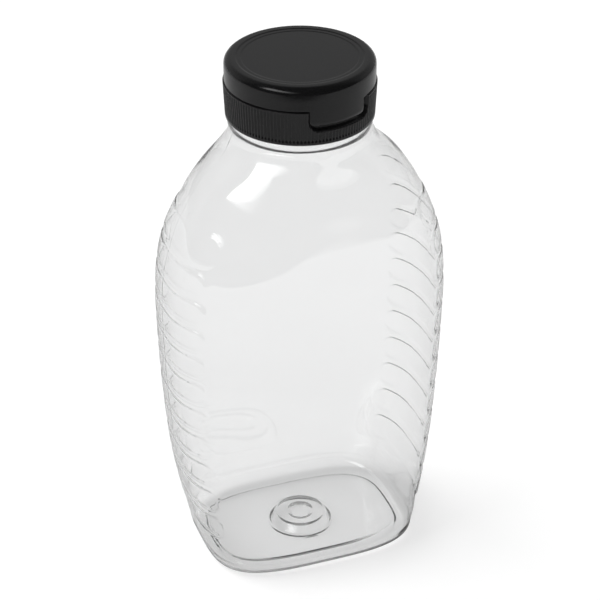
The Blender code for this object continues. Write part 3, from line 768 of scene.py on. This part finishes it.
def floor_material():
    """White paper, a little brighter to the camera than its light makes it, so that it clips to white as in
    the photograph. In reflections it ends in the dark of the room on the camera's side."""
    material = bpy.data.materials.new("pale_floor")
    material.use_nodes = True
    nodes, links = material.node_tree.nodes, material.node_tree.links
    shader = nodes["Principled BSDF"]
    shader.inputs["Base Color"].default_value = (FLOOR_WHITE, FLOOR_WHITE, FLOOR_WHITE, 1.0)
    shader.inputs["Roughness"].default_value = 0.9
    shader.inputs["Specular IOR Level"].default_value = 0.0
    place = nodes.new("ShaderNodeTexCoord")
    along = nodes.new("ShaderNodeVectorMath")
    along.operation = "DOT_PRODUCT"
    along.inputs[1].default_value = direction(VIEW_AZIMUTH, 0.0)
    links.new(place.outputs["Object"], along.inputs[0])
    beyond = ramp(nodes, links, along.outputs["Value"], FLOOR_EDGE - 0.01, FLOOR_EDGE + 0.02)
    both = calculate(nodes, links, "MULTIPLY", beyond, reflected_only(nodes, links))
    dark = nodes.new("ShaderNodeBsdfDiffuse")
    dark.inputs["Color"].default_value = (DARK_SIDE, DARK_SIDE, DARK_SIDE, 1.0)
    path = nodes.new("ShaderNodeLightPath")
    glow = nodes.new("ShaderNodeEmission")
    lift = calculate(nodes, links, "MULTIPLY", path.outputs["Is Camera Ray"], FLOOR_GLOW)
    links.new(lift, glow.inputs["Strength"])
    open_floor = nodes.new("ShaderNodeAddShader")
    links.new(shader.outputs["BSDF"], open_floor.inputs[0])
    links.new(glow.outputs["Emission"], open_floor.inputs[1])
    blend = nodes.new("ShaderNodeMixShader")
    links.new(both, blend.inputs["Fac"])
    links.new(open_floor.outputs["Shader"], blend.inputs[1])
    links.new(dark.outputs["BSDF"], blend.inputs[2])
    links.new(blend.outputs["Shader"], nodes["Material Output"].inputs["Surface"])
    return material


def mirrored_studio(nodes, links):
    """Brightness that a mirrored ray finds, from its azimuth and elevation in degrees: a dark room on the
    camera's side, pale walls behind, a dim ceiling, and the soft box. Its foot and top are level on their
    upright plane, so they slope down to the right."""
    place = nodes.new("ShaderNodeTexCoord")
    split = nodes.new("ShaderNodeSeparateXYZ")
    links.new(place.outputs["Generated"], split.inputs["Vector"])
    across, toward, up = split.outputs
    front = calculate(nodes, links, "MULTIPLY", toward, -1.0)
    azimuth = calculate(nodes, links, "DEGREES", calculate(nodes, links, "ARCTAN2", across, front))
    elevation = calculate(nodes, links, "DEGREES", calculate(nodes, links, "ARCSINE", up))

    facing = nodes.new("ShaderNodeVectorMath")
    facing.operation = "DOT_PRODUCT"
    facing.inputs[1].default_value = direction(VIEW_AZIMUTH, 0.0)
    links.new(place.outputs["Generated"], facing.inputs[0])
    behind = ramp(nodes, links, facing.outputs["Value"], 0.15, -0.35)
    low = ramp(nodes, links, elevation, CEILING_EDGE, WALL_TOP)
    walls = calculate(nodes, links, "MULTIPLY", behind, low)
    room = calculate(nodes, links, "MULTIPLY_ADD", walls, WALL_BRIGHTNESS, DARK_SIDE)

    first = ramp(nodes, links, azimuth, BOX_FIRST_AZIMUTH - 2.0, BOX_FIRST_AZIMUTH + 1.0)
    last_out, last_in = BOX_LAST_AZIMUTH + BOX_LAST_FADE, BOX_LAST_AZIMUTH - BOX_LAST_FADE
    last = ramp(nodes, links, azimuth, last_out, last_in)
    away = nodes.new("ShaderNodeVectorMath")
    away.operation = "DOT_PRODUCT"
    away.inputs[1].default_value = direction(math.radians(BOX_MIDDLE_AZIMUTH), 0.0)
    links.new(place.outputs["Generated"], away.inputs[0])
    rise = calculate(nodes, links, "DIVIDE", up, away.outputs["Value"])
    above_foot = ramp(nodes, links, rise, BOX_FOOT_RISE - 0.02, BOX_FOOT_RISE + 0.02)
    below_top = ramp(nodes, links, rise, BOX_TOP_RISE + 0.05, BOX_TOP_RISE - 0.05)
    box = calculate(nodes, links, "MULTIPLY", calculate(nodes, links, "MULTIPLY", first, last),
                    calculate(nodes, links, "MULTIPLY", below_top, above_foot))
    return calculate(nodes, links, "MULTIPLY_ADD", box, BOX_BRIGHTNESS, room)


def studio_world():
    """Even white all round for what shows past and through the bottle, a dimmer one to light the floor, and
    the studio itself for mirrored rays."""
    world = bpy.data.worlds.new("studio")
    world.use_nodes = True
    nodes, links = world.node_tree.nodes, world.node_tree.links
    white = nodes["Background"]
    white.inputs["Color"].default_value = (1.0, 1.0, 1.0, 1.0)
    white.inputs["Strength"].default_value = 1.0
    dimmer = nodes.new("ShaderNodeBackground")
    dimmer.inputs["Strength"].default_value = OPEN_LIGHT
    path = nodes.new("ShaderNodeLightPath")
    straight = nodes.new("ShaderNodeMixShader")
    links.new(path.outputs["Is Diffuse Ray"], straight.inputs["Fac"])
    links.new(white.outputs["Background"], straight.inputs[1])
    links.new(dimmer.outputs["Background"], straight.inputs[2])
    mirrored = nodes.new("ShaderNodeBackground")
    links.new(mirrored_studio(nodes, links), mirrored.inputs["Strength"])
    blend = nodes.new("ShaderNodeMixShader")
    links.new(reflected_only(nodes, links), blend.inputs["Fac"])
    links.new(straight.outputs["Shader"], blend.inputs[1])
    links.new(mirrored.outputs["Background"], blend.inputs[2])
    links.new(blend.outputs["Shader"], nodes["World Output"].inputs["Surface"])
    bpy.context.scene.world = world


def soft_light():
    """The broad soft lamp on the left. In reflections the world's soft box stands for it."""
    data = bpy.data.lights.new("soft_light", "SUN")
    data.energy = LAMP_STRENGTH
    data.angle = LAMP_SPREAD
    lamp = bpy.data.objects.new("soft_light", data)
    bpy.context.scene.collection.objects.link(lamp)
    aim(lamp, direction(LAMP_AZIMUTH, LAMP_ELEVATION).tolist(), (0.0, 0.0, 0.0))
    lamp.visible_glossy = False
    lamp.visible_transmission = False


corners = [(x * FLOOR_HALF, y * FLOOR_HALF, 0.0) for x, y in ((-1, -1), (1, -1), (1, 1), (-1, 1))]
floor_mesh = bpy.data.meshes.new("floor")
floor_mesh.from_pydata(corners, [], [(0, 1, 2, 3)])
floor_mesh.materials.append(floor_material())
floor = bpy.data.objects.new("floor", floor_mesh)
bpy.context.scene.collection.objects.link(floor)

studio_world()
soft_light()

camera_data = bpy.data.cameras.new("camera")
camera_data.sensor_width = SENSOR_WIDTH
camera_data.lens = LENS_FOCUS_PIXELS / PICTURE_PIXELS * SENSOR_WIDTH
camera_data.clip_start, camera_data.clip_end = 0.01, 20.0
camera = bpy.data.objects.new("camera", camera_data)
bpy.context.scene.collection.objects.link(camera)
eye = direction(VIEW_AZIMUTH, VIEW_ELEVATION) * VIEW_DISTANCE + [0.0, 0.0, AIM_HEIGHT]
aim(camera, eye.tolist(), (0.0, 0.0, AIM_HEIGHT))
bpy.context.scene.camera = camera

scene = bpy.context.scene
scene.view_settings.view_transform = "Standard"
scene.cycles.max_bounces = 24
scene.cycles.transmission_bounces = 24
scene.cycles.glossy_bounces = 8
scene.cycles.transparent_max_bounces = 24
